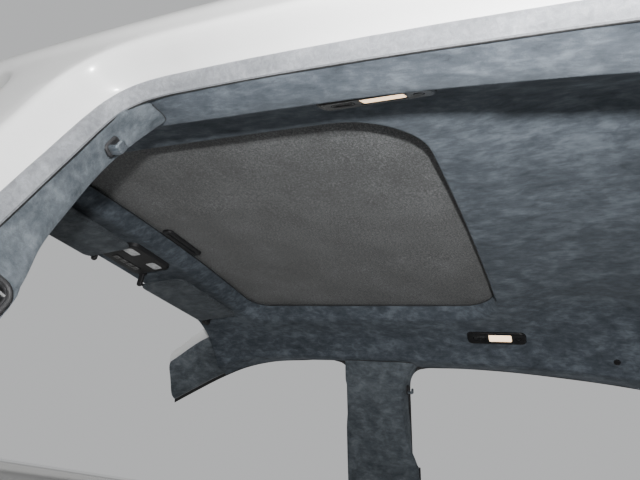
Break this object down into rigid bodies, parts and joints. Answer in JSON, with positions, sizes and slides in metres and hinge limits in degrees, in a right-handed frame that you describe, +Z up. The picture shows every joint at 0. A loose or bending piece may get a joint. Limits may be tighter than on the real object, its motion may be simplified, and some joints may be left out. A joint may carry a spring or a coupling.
{
  "type": "suv roof section",
  "caption": "White SUV roof cut at the belt line, with suede lining, sunroof and sliding sunshade, folding sun visors, reading lamps, pillar trims and door seals.",
  "frame": {"origin": "On the floor under the middle of the roof, level with the cut ends of the pillars", "axes": "+X to the vehicle's left side, +Y to its rear, +Z up"},
  "size_m": [1.91, 2.48, 0.704],
  "materials": {
    "body_paint": "white gloss body paint with clear coat",
    "inner_paint": "thin satin white paint on inner body steel",
    "lining_suede": "dark slate suede with a brushed nap",
    "trim_suede": "dark slate suede wrapped on moulded trim",
    "shade_cloth": "tight grey roller cloth with a fine fleck",
    "edge_black": "fine grained black plastic",
    "gloss_black": "gloss black plastic",
    "seal_rubber": "grey flocked rubber door seal",
    "black_rubber": "smooth black rubber",
    "tinted_glass": "dark tinted safety glass",
    "lamp_lens": "warm white lit lens, finely ribbed",
    "lens_clear": "milky clear lens, unlit",
    "vent_chrome": "bright satin chrome",
    "hook_metal": "satin grey metal",
    "visor_cloth": "dark slate suede on a padded board",
    "steel_dark": "black coated steel"
  },
  "bodies": {
    "roof": {"a_pillar_trim_left": "trim_suede", "a_pillar_trim_right": "trim_suede", "b_pillar_trim_left": "trim_suede", "b_pillar_trim_right": "trim_suede", "b_pillar_vent_left": "edge_black", "b_pillar_vent_right": "edge_black", "c_pillar_trim_left": "trim_suede", "c_pillar_trim_right": "trim_suede", "coat_hooks": "hook_metal", "console_buttons": "gloss_black", "console_lenses": "lens_clear", "ditch_mouldings": "black_rubber", "front_door_seal_left": "seal_rubber", "front_door_seal_right": "seal_rubber", "lining_studs": "gloss_black", "opening_edging": "edge_black", "opening_wall": "lining_suede", "overhead_console": "edge_black", "quarter_gaskets": "black_rubber", "quarter_glasses": "tinted_glass", "reading_lamp_bezel_left": "edge_black", "reading_lamp_bezel_right": "edge_black", "reading_lamp_lens_left": "lamp_lens", "reading_lamp_lens_right": "lamp_lens", "reading_lamp_switch_left": "gloss_black", "reading_lamp_switch_right": "gloss_black", "rear_door_seal_left": "seal_rubber", "rear_door_seal_right": "seal_rubber", "rear_header": "inner_paint", "roof_antenna": "gloss_black", "roof_lining": "lining_suede", "roof_panel": "body_paint", "shade_rails": "steel_dark", "side_frame_left": "body_paint", "side_frame_right": "body_paint", "sunroof_frame": "steel_dark", "sunroof_gasket": "black_rubber", "sunroof_glass": "tinted_glass", "vent_fins": "vent_chrome", "visor_rod_left": "edge_black", "visor_rod_right": "edge_black", "windscreen_header": "inner_paint"},
    "sunshade": {"sunshade_panel": "shade_cloth", "sunshade_grip": "edge_black"},
    "visor_left": {"sun_visor_left": "visor_cloth"},
    "visor_right": {"sun_visor_right": "visor_cloth"}
  },
  "joints": [
    {"name": "sunshade_slide", "type": "slide", "parent": "roof", "child": "sunshade", "axis": [0, 1, 0], "range_m": [0, 0.65]},
    {"name": "visor_left_fold", "type": "hinge", "parent": "roof", "child": "visor_left", "pos_m": [0.263, -0.972, 0.553], "axis": [-1, 0, 0], "range_deg": [0, 120]},
    {"name": "visor_right_fold", "type": "hinge", "parent": "roof", "child": "visor_right", "pos_m": [-0.263, -0.972, 0.553], "axis": [-1, 0, 0], "range_deg": [0, 120]}
  ]
}
